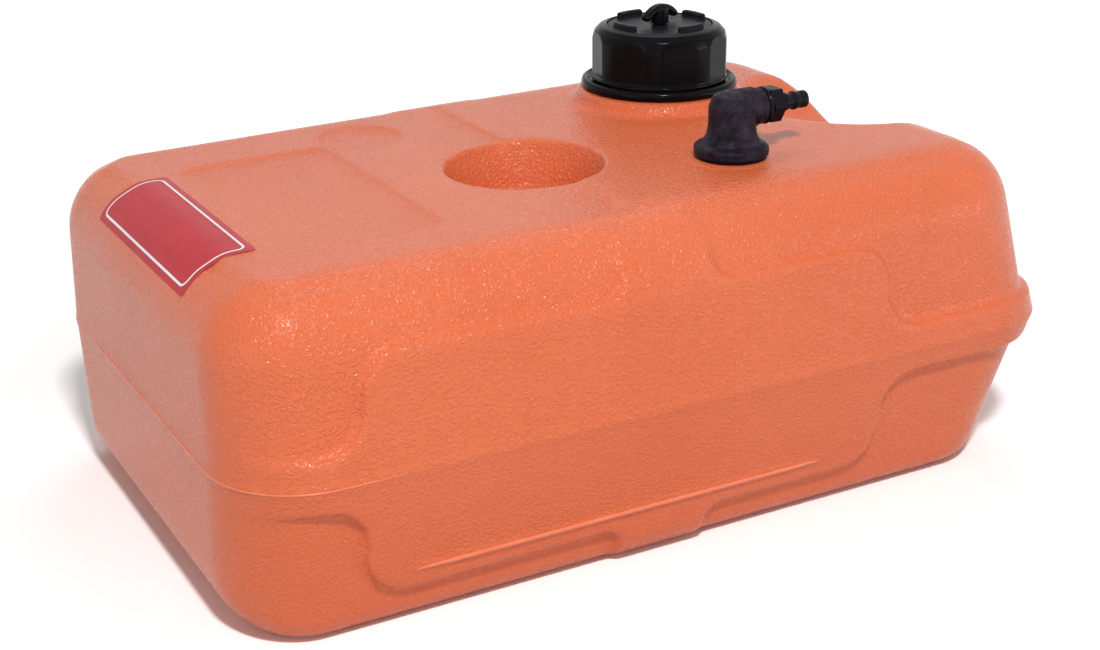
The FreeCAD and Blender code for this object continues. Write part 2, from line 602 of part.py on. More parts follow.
def tank_shell():
    """The hollow moulded tank with its neck, pick-up seat and all its surface forms."""
    end_scoop = scoop("end_scoop", "0")
    scooped = join("scooped_form", "Cut", [rounded_form("main_form", "0", "0", "0"), end_scoop])
    rim = rim_of_radius(scooped.Shape, size(SCOOP_RADIUS))
    core = round_edges("scoop_rim", scooped, rim, size("sizes.scoop_lip"))
    fields = raised_fields()
    seat_top = NECK_SEAT
    flare_foot = top_at("sizes.cap_x")
    flare_start = ("sizes.seat_radius + sizes.seat_flare", flare_foot)
    seat_edge = ("sizes.seat_radius", "%s - sizes.seat_round" % seat_top)
    neck = turned("neck", [
        ("0", "%s - sizes.wall * 2" % flare_foot),
        ("sizes.seat_radius + sizes.seat_flare", "%s - sizes.wall * 2" % flare_foot),
        flare_start,
        *eased(flare_start, ("sizes.seat_radius", "%s + sizes.seat_flare" % flare_foot), True, 3),
        seat_edge,
        *eased(seat_edge, ("sizes.seat_radius - sizes.seat_round", seat_top), False, 2),
        ("sizes.neck_radius", seat_top),
        ("sizes.neck_radius", "%s + sizes.neck_length - sizes.neck_round" % seat_top),
        ("sizes.neck_radius - sizes.neck_round", "%s + sizes.neck_length" % seat_top),
        ("0", "%s + sizes.neck_length" % seat_top),
    ])
    place(neck, "sizes.cap_x", "sizes.cap_y", "0")
    pad = disc("pick_up_pad", "sizes.pad_radius", None, "sizes.pad_height + sizes.wall")
    place(pad, "sizes.pick_x", "sizes.pick_y", "%s - sizes.wall" % top_at("sizes.pick_x"))
    line = doc.addObject("Part::Cylinder", "moulded_line")
    bind(line, Radius="sizes.line_radius", Height="sizes.line_left + sizes.line_right")
    line.Placement = FreeCAD.Placement(V(0, 0, 0), FreeCAD.Rotation(V(0, 1, 0), 90))
    place(line, "-sizes.line_left",
          "-(sizes.half_width + sizes.relief) + sizes.foot_side_lean"
          " * (sizes.waist_height - sizes.line_height) / sizes.waist_height", "sizes.line_height")
    parting = waist_slab("parting_line", [("sizes.relief + sizes.seam_proud", "sizes.seam_proud")])
    solid = join("solid_tank", "MultiFuse", [core, fields, parting, neck, pad, line])

    field = new_body("sunk_field")
    sketch = rounded_box(new_sketch(field, "sunk_field_outline", "top"), "-sizes.field_left",
                         "-sizes.field_right", "-sizes.field_half_width",
                         "sizes.field_half_width", "sizes.field_corner")
    add(field, "Pad", "sunk_field_pad", sketch, Length="sizes.field_depth + sizes.overshoot")
    lean_with_top(field, "0", "-sizes.field_y", "-sizes.step_depth - sizes.field_depth")
    spot = disc("sunk_spot", "sizes.spot_radius", None, "sizes.field_depth + sizes.overshoot")
    lean_with_top(spot, "-sizes.spot_x", "sizes.spot_y", "-sizes.step_depth - sizes.field_depth")
    step = doc.addObject("Part::Box", "top_step")
    bind(step, Length="sizes.half_length + sizes.overshoot",
         Width="(sizes.half_width + sizes.overshoot) * 2", Height="sizes.overshoot")
    lean_with_top(step, "-sizes.half_length - sizes.overshoot - sizes.step_x",
                  "-sizes.half_width - sizes.overshoot", "-sizes.step_depth")
    hollows = [bowl("pocket", "0"), field, spot, step, finger_grip("finger_grip", "0")]
    outside = join("outside", "Cut", [solid, join("hollows", "MultiFuse", hollows)])

    inset, inner = "-sizes.wall", "-sizes.wall - sizes.seam_proud"
    roof, floor = form("room", inset, inset, inset, "sizes.wall")
    room = join("room", "MultiFuse", [
        bevel_edges("room_top_edge", roof, rim_edges(roof.Shape, True), size("sizes.room_top_bevel")),
        bevel_edges("room_foot_edge", floor, rim_edges(floor.Shape, False),
                    size("sizes.room_foot_bevel"))])
    bead = waist_slab("inner_parting_line", [("0", "0"), (inner, inner)])
    sleeve_foot = "%s - sizes.spigot_length" % PICK_FOOT
    sleeve = disc("pick_up_sleeve", "sizes.spigot_radius + sizes.spigot_gap + sizes.sleeve_wall",
                  None, "sizes.spigot_length")
    place(sleeve, "sizes.pick_x", "sizes.pick_y", sleeve_foot)
    inward = [scoop("scoop_wall", "sizes.wall"), bowl("pocket_wall", "sizes.wall"),
              finger_grip("grip_wall", "sizes.wall"), sleeve, bead]
    inside = join("inside", "Cut", [room, join("inward_walls", "MultiFuse", inward)])
    throat = disc("throat", "sizes.seat_radius - sizes.wall", None,
                  "%s - %s + sizes.wall" % (NECK_SEAT, flare_foot))
    place(throat, "sizes.cap_x", "sizes.cap_y", "%s - sizes.wall * 2" % flare_foot)
    mouth = disc("mouth", "sizes.neck_bore", None, "sizes.neck_length + sizes.overshoot")
    place(mouth, "sizes.cap_x", "sizes.cap_y", "%s - sizes.wall * 2" % flare_foot)
    hole = disc("pick_up_hole", "sizes.spigot_radius + sizes.spigot_gap", None,
                "sizes.spigot_length + sizes.wall")
    place(hole, "sizes.pick_x", "sizes.pick_y", "%s - sizes.wall" % sleeve_foot)
    empty = join("empty", "MultiFuse", [inside, throat, mouth, hole])
    shell = join("tank_shell", "Cut", [outside, empty])
    return shell


COLLAR_FOOT = "(%s + sizes.seat_gap)" % NECK_SEAT
CAP_FOOT = "(%s + sizes.collar_web + sizes.cap_gap)" % COLLAR_FOOT
NECK_RIM = "(%s + sizes.neck_length)" % NECK_SEAT
CEILING = "(%s + sizes.gasket_height + sizes.seat_gap * 2)" % NECK_RIM
DISC_FOOT = "(%s + sizes.cap_roof + sizes.seat_gap)" % CEILING
DISC_TOP = "(%s + sizes.disc_height)" % DISC_FOOT
CAP_TOP = "(%s + sizes.disc_sink)" % DISC_TOP
HUB_FOOT = "(%s + sizes.vent_lift)" % DISC_TOP
STEM_HOLE = "(sizes.vent_stem + sizes.vent_gap)"
CLIP_TOP = "(%s - sizes.vent_travel)" % CEILING


def over_filler(body, z):
    """Set a body on the filler axis."""
    place(body, "sizes.cap_x", "sizes.cap_y", z)


def neck_collar():
    """Loose collar round the neck: a flat web with a thick rounded rim."""
    half = "sizes.collar_height / 2"
    bore = "sizes.neck_radius + sizes.collar_gap"
    low = ("sizes.collar_radius - %s" % half, "0")
    widest = ("sizes.collar_radius", half)
    high = ("sizes.collar_radius - %s" % half, "sizes.collar_height")
    eased_rim = [low, *eased(low, widest, True, 2), *eased(widest, high, False, 2)]
    body = turned("neck_collar", [
        (bore, "0"),
        *eased_rim,
        ("sizes.collar_inside", "sizes.collar_web"),
        (bore, "sizes.collar_web"),
    ])
    over_filler(body, COLLAR_FOOT)
    return body


def filler_cap():
    """Screw cap: a turned shell with a rounded shoulder, cut to eight flats for the hand."""
    bore = "sizes.neck_radius + sizes.thread_gap"
    seat = "sizes.disc_radius + sizes.disc_gap"
    top = "%s - %s" % (CAP_TOP, CAP_FOOT)
    floor = "%s + sizes.cap_roof - %s" % (CEILING, CAP_FOOT)
    shoulder = ("sizes.cap_radius", "%s - sizes.cap_shoulder" % top)
    body = turned("filler_cap", [
        (bore, "0"), ("sizes.cap_lip_radius", "0"),
        ("sizes.cap_lip_radius", "sizes.cap_lip_height"), ("sizes.cap_radius", "sizes.cap_lip_height"),
        shoulder,
        *eased(shoulder, ("sizes.cap_radius - sizes.cap_shoulder", top), False, 3),
        (seat, top), (seat, floor), (STEM_HOLE, floor),
        (STEM_HOLE, "%s - %s" % (CEILING, CAP_FOOT)), (bore, "%s - %s" % (CEILING, CAP_FOOT)),
    ])
    sketch = new_sketch(body, "grip_flats", "top")
    bind(sketch, AttachmentOffset__Base__z="sizes.cap_lip_height")
    corners = []
    for corner in range(8):
        angle = "sizes.cap_turn_angle + %g" % (22.5 + 45 * corner)
        reach = "sizes.cap_flats / 2 / cos(22.5)"
        corners.append(("%s * cos(%s)" % (reach, angle), "%s * sin(%s)" % (reach, angle)))
    circle(outline(sketch, corners), "sizes.cap_radius + sizes.overshoot")
    before = body.Shape.Volume
    add(body, "Pocket", "grip_pocket", sketch, Length=top)
    body.Tip.Reversed = True
    doc.recompute()
    if not body.Shape.Volume < before:
        raise RuntimeError("the cap's flats cut nothing")
    over_filler(body, CAP_FOOT)
    return body


def finish_in(body, name, numbers, kind, **expressions):
    """Round or bevel numbered edges of a body's latest feature."""
    base = body.Tip
    finished = body.newObject("PartDesign::" + kind, name)
    finished.Base = (base, ["Edge%d" % number for number in numbers])
    bind(finished, **expressions)
    doc.recompute()
    return finished


def cap_disc():
    """Flat disc let into the cap's top, with raised lugs round its edge."""
    body = turned("cap_disc", [
        (STEM_HOLE, "0"), ("sizes.disc_radius", "0"), ("sizes.disc_radius", "sizes.disc_height"),
        ("%s + sizes.ring_wire * 2 + sizes.ring_gap" % STEM_HOLE, "sizes.disc_height"),
        ("%s + sizes.ring_wire * 2 + sizes.ring_gap" % STEM_HOLE, "sizes.disc_height - sizes.vent_pocket"),
        (STEM_HOLE, "sizes.disc_height - sizes.vent_pocket"),
    ])
    sketch = new_sketch(body, "lug_outline", "top")
    bind(sketch, AttachmentOffset__Base__z="sizes.disc_height / 2")
    outer = "(sizes.disc_radius - sizes.lug_inset)"
    inner = "(sizes.disc_radius - sizes.lug_inset - sizes.lug_width)"
    ends = ["sizes.lug_angle %s sizes.lug_span / 2" % sign for sign in ("-", "+")]
    spots = [("%s * cos(%s)" % (r, a), "%s * sin(%s)" % (r, a)) for r, a in
             ((inner, ends[0]), (outer, ends[0]), (outer, ends[1]), (inner, ends[1]))]
    outline(sketch, [spots[0] + (inner, -1), spots[1], spots[2] + (outer, 1), spots[3]])
    pad = add(body, "Pad", "lug", sketch, Length="sizes.disc_height / 2 + sizes.lug_height")
    doc.recompute()
    ring = body.newObject("PartDesign::PolarPattern", "lugs")
    ring.Originals = [pad]
    ring.Axis = (sketch, ["N_Axis"])
    ring.Angle = 360
    bind(ring, Occurrences="sizes.lug_count")
    body.Tip = ring
    doc.recompute()
    low, high = size("sizes.disc_height"), size("sizes.disc_height + sizes.lug_height")
    corners = [number for number, edge in enumerate(ring.Shape.Edges, start=1)
               if abs(edge.BoundBox.ZMin - low) < 0.001 and abs(edge.BoundBox.ZMax - high) < 0.001]
    cornered = finish_in(body, "lug_corners", corners, "Fillet", Radius="sizes.lug_corner")
    rims = [number for number, edge in enumerate(cornered.Shape.Edges, start=1)
            if abs(edge.BoundBox.ZMin - high) < 0.001]
    finish_in(body, "lug_bevels", rims, "Chamfer", Size="sizes.lug_bevel")
    over_filler(body, DISC_FOOT)
    return body


def cap_gasket():
    """Flat sealing ring between the neck's rim and the cap's roof."""
    body = disc("cap_gasket", "sizes.neck_radius", "sizes.neck_bore + sizes.neck_round",
                "sizes.gasket_height")
    over_filler(body, "%s + sizes.seat_gap" % NECK_RIM)
    return body


def vent_knob():
    """Vent screw: an arched wing on a hub, with a stem down through the disc and the roof."""
    body = new_body("vent_knob")
    arch = new_sketch(body, "wing_arch", "front")
    centre = "(sizes.wing_top - sizes.wing_bend)"
    inner = "(sizes.wing_bend - sizes.wing_height)"
    lean = "asin(sizes.wing_length / 2 / sizes.wing_bend)"
    spots = [("%s %s * sin(%s)" % (sign, r, lean), "%s + %s * cos(%s)" % (centre, r, lean))
             for sign, r in (("-", "sizes.wing_bend"), ("", "sizes.wing_bend"), ("", inner), ("-", inner))]
    outline(arch, [spots[0], spots[1] + ("sizes.wing_bend", -1), spots[2], spots[3] + (inner, 1)])
    wing = add(body, "Pad", "wing", arch, Length="sizes.wing_width")
    wing.SideType = "Symmetric"
    doc.recompute()
    finish_in(body, "wing_bevels", range(1, len(wing.Shape.Edges) + 1), "Chamfer",
              Size="sizes.wing_bevel")
    tail = "%s - sizes.clip_height - sizes.vent_tip - %s" % (CLIP_TOP, HUB_FOOT)
    profile = outline(new_sketch(body, "stem_profile", "front"), [
        ("0", tail), ("sizes.vent_stem / 2", tail),
        ("sizes.vent_stem", "%s + sizes.vent_stem / 2" % tail),
        ("sizes.vent_stem", "0"), ("sizes.vent_hub", "0"),
        ("sizes.vent_hub", "sizes.vent_hub_height"), ("0", "sizes.vent_hub_height"),
    ])
    spin(body, "Revolution", "stem", profile)
    turn(body, V(0, 0, 1), "sizes.wing_angle")
    over_filler(body, HUB_FOOT)
    return body


def ring_seal(name, radius, wire, axis="V_Axis"):
    """A sealing ring round its own axis, its round section drawn with six sides."""
    corners = []
    for side in range(6):
        lean = 30 + 60 * side
        corners.append(("%s * cos(%s)" % (wire, lean), "%s * sin(%s)" % (wire, lean)))
    along, out = (1, 0) if axis == "V_Axis" else (0, 1)
    corners = [(("%s + " % radius if along else "") + x, ("%s + " % radius if out else "") + y)
               for x, y in corners]
    return turned(name, corners, axis)


def vent_seal():
    """Sealing ring of the vent screw, in its pocket in the disc."""
    ring = ring_seal("vent_seal", "%s + sizes.ring_wire" % STEM_HOLE, "sizes.ring_wire")
    over_filler(ring, "%s - sizes.vent_pocket + sizes.ring_wire" % DISC_TOP)
    return ring


def vent_clip():
    """Clip that keeps the vent screw in the cap."""
    body = disc("vent_clip", "sizes.clip_radius", "sizes.vent_stem", "sizes.clip_height")
    over_filler(body, "%s - sizes.clip_height" % CLIP_TOP)
    return body


TUBE_TOP = "(%s - sizes.spigot_length + sizes.tube_seat)" % PICK_FOOT
CAGE_FOOT = "(sizes.wall + sizes.floor_gap)"
CAGE_TOP = "(%s + sizes.cage_height)" % CAGE_FOOT


def over_pick_up(body, z):
    """Set a body on the pick-up axis."""
    place(body, "sizes.pick_x", "sizes.pick_y", z)


def pickup_gasket():
    """Flat gasket between the elbow's flange and the tank."""
    body = disc("pickup_gasket", "sizes.flange_radius - sizes.flange_round",
                "sizes.spigot_radius + sizes.spigot_gap", "sizes.pick_gasket")
    over_pick_up(body, "%s - sizes.pick_gasket" % PICK_FOOT)
    return body


def pickup_elbow():
    """Elbow moulding: spigot, flange, flared foot, domed barrel and outlet along the tank."""
    bell_foot = ("sizes.flange_radius - sizes.flange_round", "sizes.flange_height")
    dome = ("sizes.barrel_radius", "sizes.elbow_height - sizes.dome_radius")
    body = turned("pickup_elbow", [
        ("0", "-sizes.spigot_length"), ("sizes.spigot_radius", "-sizes.spigot_length"),
        ("sizes.spigot_radius", "0"), ("sizes.flange_radius", "0"),
        ("sizes.flange_radius", "sizes.flange_height - sizes.flange_round"),
        bell_foot,
        *eased(bell_foot, ("sizes.barrel_radius", "sizes.flange_height + sizes.bell_height"),
               True, 3),
        dome,
        *eased(dome, ("sizes.barrel_radius - sizes.dome_radius", "sizes.elbow_height"), False, 2),
        ("0", "sizes.elbow_height"),
    ])
    for name, radius, reach in (("outlet_root", "sizes.outlet_root", "sizes.outlet_step"),
                                ("outlet", "sizes.outlet_radius", "sizes.outlet_reach")):
        sketch = circle(new_sketch(body, name + "_outline", "side"), radius, "0", "sizes.outlet_height")
        add(body, "Pad", name, sketch, Length=reach)
        doc.recompute()
    bores = [
        ("fuel_bore", "top", "sizes.bore_radius", "-sizes.spigot_length",
         "sizes.spigot_length + sizes.outlet_height + sizes.bore_radius", True),
        ("tube_seat", "top", "sizes.tube_radius + sizes.tube_gap", "-sizes.spigot_length",
         "sizes.tube_seat", True),
        ("outlet_bore", "side", "sizes.bore_radius", "0", "sizes.outlet_reach", True),
        ("stub_seat", "side", "sizes.stub_radius + sizes.stub_gap",
         "sizes.outlet_reach - sizes.stub_length - sizes.stub_gap", "sizes.outlet_reach", True),
    ]
    for name, plane, radius, start, length, onward in bores:
        sketch = new_sketch(body, name + "_outline", plane)
        circle(sketch, radius, "0", "sizes.outlet_height" if plane == "side" else "0")
        bind(sketch, AttachmentOffset__Base__z=start)
        before = body.Shape.Volume
        add(body, "Pocket", name, sketch, Length=length)
        body.Tip.Reversed = onward
        doc.recompute()
        if not body.Shape.Volume < before:
            raise RuntimeError("%s cuts nothing" % name)
    over_pick_up(body, PICK_FOOT)
    return body


def on_outlet(thing, x):
    """Set an object on the outlet's axis."""
    place(thing, "sizes.pick_x + %s" % x, "sizes.pick_y", "%s + sizes.outlet_height" % PICK_FOOT)


HEX_FOOT = "(sizes.seal_wire * 2 + sizes.seal_gap * 2)"
BARB_FOOT = "(%s + sizes.hex_length)" % HEX_FOOT


def hose_barb():
    """Hose fitting: stub, hexagon, barbed shank and chamfered tip round one bore."""
    stub, shank, crest = "sizes.stub_radius", "sizes.shank_radius", "sizes.crest_radius"
    end = "%s + sizes.barb_length" % BARB_FOOT
    corners = [
        ("-sizes.stub_length", "sizes.barb_bore"), (end, "sizes.barb_bore"),
        (end, "sizes.tip_radius"), ("%s - sizes.tip_length" % end, "sizes.tip_radius"),
        ("%s - sizes.tip_length" % end, shank),
    ]
    for step in (1, 0):
        back = "%s + sizes.crest_first + sizes.crest_pitch * %d" % (BARB_FOOT, step)
        corners += [
            ("%s + sizes.crest_land + sizes.crest_slope" % back, shank),
            ("%s + sizes.crest_land" % back, crest), (back, crest), (back, shank),
        ]
    corners += [(BARB_FOOT, shank), (BARB_FOOT, stub), ("-sizes.stub_length", stub)]
    body = turned("hose_barb", corners, "H_Axis")
    sketch = new_sketch(body, "hexagon", "side")
    bind(sketch, AttachmentOffset__Base__z=HEX_FOOT)
    reach = "sizes.hex_flats / 2 / cos(30)"
    outline(sketch, [("%s * cos(%d)" % (reach, 60 * corner), "%s * sin(%d)" % (reach, 60 * corner))
                     for corner in range(6)])
    circle(sketch, "sizes.barb_bore")
    add(body, "Pad", "hexagon_pad", sketch, Length="sizes.hex_length")
    doc.recompute()
    on_outlet(body, "sizes.outlet_reach")
    return body


def barb_seal():
    """Sealing ring between the elbow's mouth and the hexagon."""
    ring = ring_seal("barb_seal", "sizes.stub_radius + sizes.seal_gap + sizes.seal_wire",
                     "sizes.seal_wire", "H_Axis")
    on_outlet(ring, "sizes.outlet_reach + sizes.seal_gap + sizes.seal_wire")
    return ring


def pickup_tube():
    """Tube from the elbow's spigot down into the strainer."""
    foot = "(%s - sizes.cage_end)" % CAGE_TOP
    body = disc("pickup_tube", "sizes.tube_radius", "sizes.tube_radius - sizes.tube_wall",
                "%s - sizes.tube_gap - %s" % (TUBE_TOP, foot))
    over_pick_up(body, foot)
    return body


def strainer_cage():
    """Strainer cage: a closed foot and a holding ring joined by upright ribs."""
    body = disc("strainer_cage", "sizes.cage_radius", None, "sizes.cage_end")
    doc.recompute()
    top = new_sketch(body, "holding_ring_outline", "top")
    bind(top, AttachmentOffset__Base__z="sizes.cage_height - sizes.cage_end")
    circle(circle(top, "sizes.cage_radius"), "sizes.tube_radius + sizes.tube_gap")
    ribs = new_sketch(body, "rib_outline", "top")
    bind(ribs, AttachmentOffset__Base__z="sizes.cage_end / 2")
    half = "sizes.cage_rib / 2"
    inner = "sizes.mesh_radius + sizes.tube_gap"
    outer = "sqrt(sizes.cage_radius ^ 2 - (%s) ^ 2)" % half
    outline(ribs, [(inner, "-%s" % half), (outer, "-%s" % half), (outer, half), (inner, half)])
    rib = add(body, "Pad", "rib", ribs, Length="sizes.cage_height - sizes.cage_end")
    doc.recompute()
    around = body.newObject("PartDesign::PolarPattern", "ribs")
    around.Originals = [rib]
    around.Axis = (ribs, ["N_Axis"])
    around.Angle = 360
    bind(around, Occurrences="sizes.rib_count")
    body.Tip = around
    doc.recompute()
    add(body, "Pad", "holding_ring", top, Length="sizes.cage_end")
    doc.recompute()
    over_pick_up(body, CAGE_FOOT)
    return body


def strainer_mesh():
    """Mesh sleeve inside the strainer's ribs."""
    body = disc("strainer_mesh", "sizes.mesh_radius", "sizes.mesh_radius - sizes.mesh_wall",
                "sizes.cage_height - sizes.cage_end * 2")
    over_pick_up(body, "%s + sizes.cage_end" % CAGE_FOOT)
    return body


PIECES = [
    tank_shell(),
    neck_collar(), filler_cap(), cap_disc(), cap_gasket(),
    vent_knob(), vent_seal(), vent_clip(),
    pickup_elbow(), pickup_gasket(), hose_barb(), barb_seal(),
    pickup_tube(), strainer_cage(), strainer_mesh(),
]

doc.recompute()
for thing in doc.Objects:
    if any(state in ("Invalid", "Error") for state in thing.State):
        raise RuntimeError("%s could not be built: %s" % (thing.Label, thing.State))
for piece in PIECES:
    if piece.Shape.isNull() or not piece.Shape.isValid():
        raise RuntimeError("%s has no sound shape" % piece.Label)

os.makedirs("parts", exist_ok=True)
for piece in PIECES:
    piece.Shape.exportStep("parts/%s.step" % piece.Label)
    print("%-16s solids %d  volume %10.1f mm3" % (piece.Label, len(piece.Shape.Solids), piece.Shape.Volume))
room = doc.getObject("inside").Shape.Volume
print("room for fuel: %.2f litres" % (room / 1000000))
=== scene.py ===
import math

import bmesh
import bpy
from mathutils import Matrix, Vector
from mathutils.bvhtree import BVHTree

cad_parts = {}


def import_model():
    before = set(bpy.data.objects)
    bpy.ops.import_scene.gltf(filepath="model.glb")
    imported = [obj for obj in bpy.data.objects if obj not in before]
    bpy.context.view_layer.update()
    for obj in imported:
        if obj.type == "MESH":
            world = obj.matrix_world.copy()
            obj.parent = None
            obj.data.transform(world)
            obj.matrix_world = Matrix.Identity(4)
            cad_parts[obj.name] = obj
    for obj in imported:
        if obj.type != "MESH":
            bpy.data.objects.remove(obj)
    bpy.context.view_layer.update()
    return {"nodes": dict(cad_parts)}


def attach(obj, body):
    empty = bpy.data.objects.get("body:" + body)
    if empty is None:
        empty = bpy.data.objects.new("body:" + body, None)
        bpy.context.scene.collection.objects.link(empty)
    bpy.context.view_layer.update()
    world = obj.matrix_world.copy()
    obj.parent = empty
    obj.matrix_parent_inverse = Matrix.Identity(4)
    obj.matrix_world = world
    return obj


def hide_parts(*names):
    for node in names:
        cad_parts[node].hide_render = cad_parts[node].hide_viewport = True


# Visual model of the fuel tank, in metres. X runs along the tank towards the pick-up and
# filler end, Y to the back, Z up. The moulded pieces are the solids, remeshed and relaxed.

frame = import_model()
NODES = frame["nodes"]

SEAM_HEIGHT = 0.074          # parting line round the tank
SEAM_RADIUS = 0.00042
LINE_HEIGHT = 0.0277         # moulded line on the front panel
LINE_ENDS = (-0.135, 0.0672)
LINE_RADIUS = 0.0010
SHOULDER = Vector((-0.1732, 0.0, 0.1186))   # axis of the rounding over the left end
SHOULDER_RADIUS = 0.0320
LABEL_ENDS = (-0.0615, 0.0550)              # the label's ends across the tank
LABEL_ANGLES = (32.0, 99.0)                 # its lower and upper edge, about that axis
FLAT_TOP = (-0.165, 0.084)   # where the top is flat: from this X on, and this far from mid width
CAP_AXIS = Vector((0.089, 0.0485))
PICK_AXIS = Vector((0.0585, -0.061))
ROOF = (0.1506, 0.007 / 0.404)              # the room's roof: its height and its slope along X
ROOF_DROP = 0.0016           # how far the hidden roof goes down, where the walls are thin
SIDE_PASSES = 9              # further relaxing passes beside the flat top
ROUND_PASSES = 24            # and again on the rounded edge above ROUND_FOOT
ROUND_FOOT = 0.132
BORDER_WIDTH = 0.0011        # width of the label's white line
LABEL_CORE = 0.001           # widest hole that closes in the middle of the label
FILM_RISE = 0.0001           # height of the label's film over the tank
BORDER_RISE = 0.00018        # height of its white line
BORDER_INSET = 0.0030        # how far inside the label's edge that line runs
LABEL_CORNERS = (0.0022, 0.0042)            # corner radii of the label and of the line
LABEL_PITCH = 0.0012         # widest step between points of the label's outlines
LABEL_RINGS = 20             # rings of the film, from its edge to its middle
WELD = 0.000002              # points of a solid nearer than this are joined
ROOF_BAND = 0.00015          # points this near the roof's plane belong to it
TOP_BAND = 0.002             # depth under the flat top that keeps its edges
PAD_RADIUS, PAD_FOOT = 0.024, 0.12          # the elbow's pad, and the height it starts above
NECK_RADIUS, NECK_FOOT = 0.050, 0.145       # the neck's seat, the same way

CAMERA_PLACE = (-0.3870, -0.6990, 0.3781)
CAMERA_TURNS = (61.175, 21.479, -0.531)     # heading, pitch and roll, in degrees
SENSOR_WIDTH = 36            # mm
FOCAL_LENGTH = 1769.6 / 1100 * SENSOR_WIDTH  # fitted in pixels, in a frame 1100 wide
LAMPS = [                    # name, direction, distance, width, height, watts
    ("key", (-0.22, -0.60, 0.78), 1.5, 0.14, 0.12, 16),
    ("top", (0.30, 0.45, 0.9), 1.7, 0.7, 0.6, 5),
    ("fill", (0.75, -0.75, 0.03), 1.8, 0.7, 0.7, 8),
    ("left", (-1.0, -0.30, 0.15), 1.7, 0.7, 0.7, 3.5),
]
LAMP_AIM = Vector((0, 0, 0.08))
WORLD_STRENGTHS = (0.25, 1.0)               # as light on the tank, and where it is seen
FLOOR_HALF = 6.0
FLOOR_DROP = 0.0002          # gap between the floor and the tank's foot
FLOOR_VALUE = 0.75           # the floor's value as light on the tank
FLOOR_SEEN = (1.2, 5.2)      # its value where it is seen, near the tank and far from it
FLOOR_REACH = (0.30, 3.0)    # the distances from the origin at which those two hold


class Shader:
    """A material with a Principled shader and short ways to add nodes to it."""

    def __init__(self, name, color, roughness, **sockets):
        self.material = bpy.data.materials.new(name)
        self.material.use_nodes = True
        self.tree = self.material.node_tree
        self.main = self.tree.nodes["Principled BSDF"]
        self.main.inputs["Base Color"].default_value = (*color, 1)
        self.main.inputs["Roughness"].default_value = roughness
        for socket, value in sockets.items():
            self.main.inputs[socket.replace("_", " ")].default_value = value
        self.place = self.node("ShaderNodeTexCoord").outputs["Object"]

    def node(self, kind, inputs=None, **settings):
        """Add a node, and link or set its inputs."""
        made = self.tree.nodes.new(kind)
        for name, value in settings.items():
            setattr(made, name, value)
        for name, value in (inputs or {}).items():
            if isinstance(value, bpy.types.NodeSocket):
                self.tree.links.new(value, made.inputs[name])
            else:
                made.inputs[name].default_value = value
        return made

    def link(self, source, socket):
        self.tree.links.new(source, self.main.inputs[socket])

    def noise(self, scale, detail=3.0, roughness=0.5, place=None):
        return self.node("ShaderNodeTexNoise", {
            "Vector": place or self.place, "Scale": scale, "Detail": detail,
            "Roughness": roughness}).outputs["Fac"]

    def math(self, operation, a, b=0.0):
        return self.node("ShaderNodeMath", {0: a, 1: b}, operation=operation).outputs["Value"]

    def ramp(self, value, stops):
        """A colour ramp with its own stops of position and colour."""
        made = self.node("ShaderNodeValToRGB", {"Fac": value})
        elements = made.color_ramp.elements
        while len(elements) < len(stops):
            elements.new(0.5)
        for element, (position, color) in zip(elements, stops):
            element.position = position
            element.color = (*color, 1)
        return made.outputs["Color"]

    def span(self, value, low, high, out_low, out_high):
        return self.node("ShaderNodeMapRange", {
            "Value": value, "From Min": low, "From Max": high,
            "To Min": out_low, "To Max": out_high}).outputs["Result"]

    def bumps(self, *layers):
        """Chain bump nodes, each from a height socket, a distance and a strength."""
        normal = None
        for height, distance, strength in layers:
            inputs = {"Height": height, "Distance": distance, "Strength": strength}
            if normal is not None:
                inputs["Normal"] = normal
            normal = self.node("ShaderNodeBump", inputs).outputs["Normal"]
        self.link(normal, "Normal")


def pebbles(shader, size):
    """Height of a moulded leather grain: rounded cells of uneven outline, about size across."""
    warp = shader.node("ShaderNodeTexNoise", {
        "Vector": shader.place, "Scale": 0.9 / size, "Detail": 2.0}).outputs["Color"]
    shift = shader.node("ShaderNodeVectorMath", {0: warp, 1: (0.5, 0.5, 0.5)},
                        operation="SUBTRACT").outputs["Vector"]
    shift = shader.node("ShaderNodeVectorMath", {0: shift, "Scale": size * 1.5},
                        operation="SCALE").outputs["Vector"]
    place = shader.node("ShaderNodeVectorMath", {0: shader.place, 1: shift},
                        operation="ADD").outputs["Vector"]
    cells = shader.node("ShaderNodeTexVoronoi", {"Vector": place, "Scale": 1 / size},
                        feature="DISTANCE_TO_EDGE").outputs["Distance"]
    return shader.node("ShaderNodeMapRange", {
        "Value": cells, "From Min": 0.0, "From Max": 0.32, "To Min": 0.0, "To Max": 1.0},
        interpolation_type="SMOOTHSTEP").outputs["Result"]


def tank_material():
    """Orange-red moulded plastic with a pebbled skin and a soft sheen."""
    shader = Shader("tank_plastic", (0.70, 0.146, 0.054), 0.25, Specular_IOR_Level=0.25)
    grain = pebbles(shader, 0.0024)
    fine = shader.noise(1100, 2.0)
    broad = shader.noise(38, 2.0)
    patches = shader.noise(11, 3.0)
    shader.link(shader.ramp(patches, [(0.3, (0.68, 0.136, 0.048)), (0.7, (0.72, 0.156, 0.060))]),
                "Base Color")
    shader.link(shader.span(fine, 0.3, 0.7, 0.20, 0.28), "Roughness")
    shader.bumps((broad, 0.0008, 0.22), (grain, 0.00045, 0.65), (fine, 0.00007, 0.25))
    return shader.material


def highlit_line_material():
    """The tank's plastic on its moulded lines, without the pebbled grain, in a lighter colour than
    the tank's: a painted highlight where the raised lines catch the light.
    """
    # Base colour lighter than the tank's: a painted highlight along the raised lines.
    shader = Shader("line_plastic_painted_highlight", (0.76, 0.185, 0.085), 0.34)
    fine = shader.noise(1300, 2.0)
    shader.link(shader.ramp(shader.noise(60), [(0.35, (0.74, 0.175, 0.080)),
                                               (0.65, (0.79, 0.205, 0.098))]), "Base Color")
    shader.bumps((fine, 0.00006, 0.3))
    return shader.material


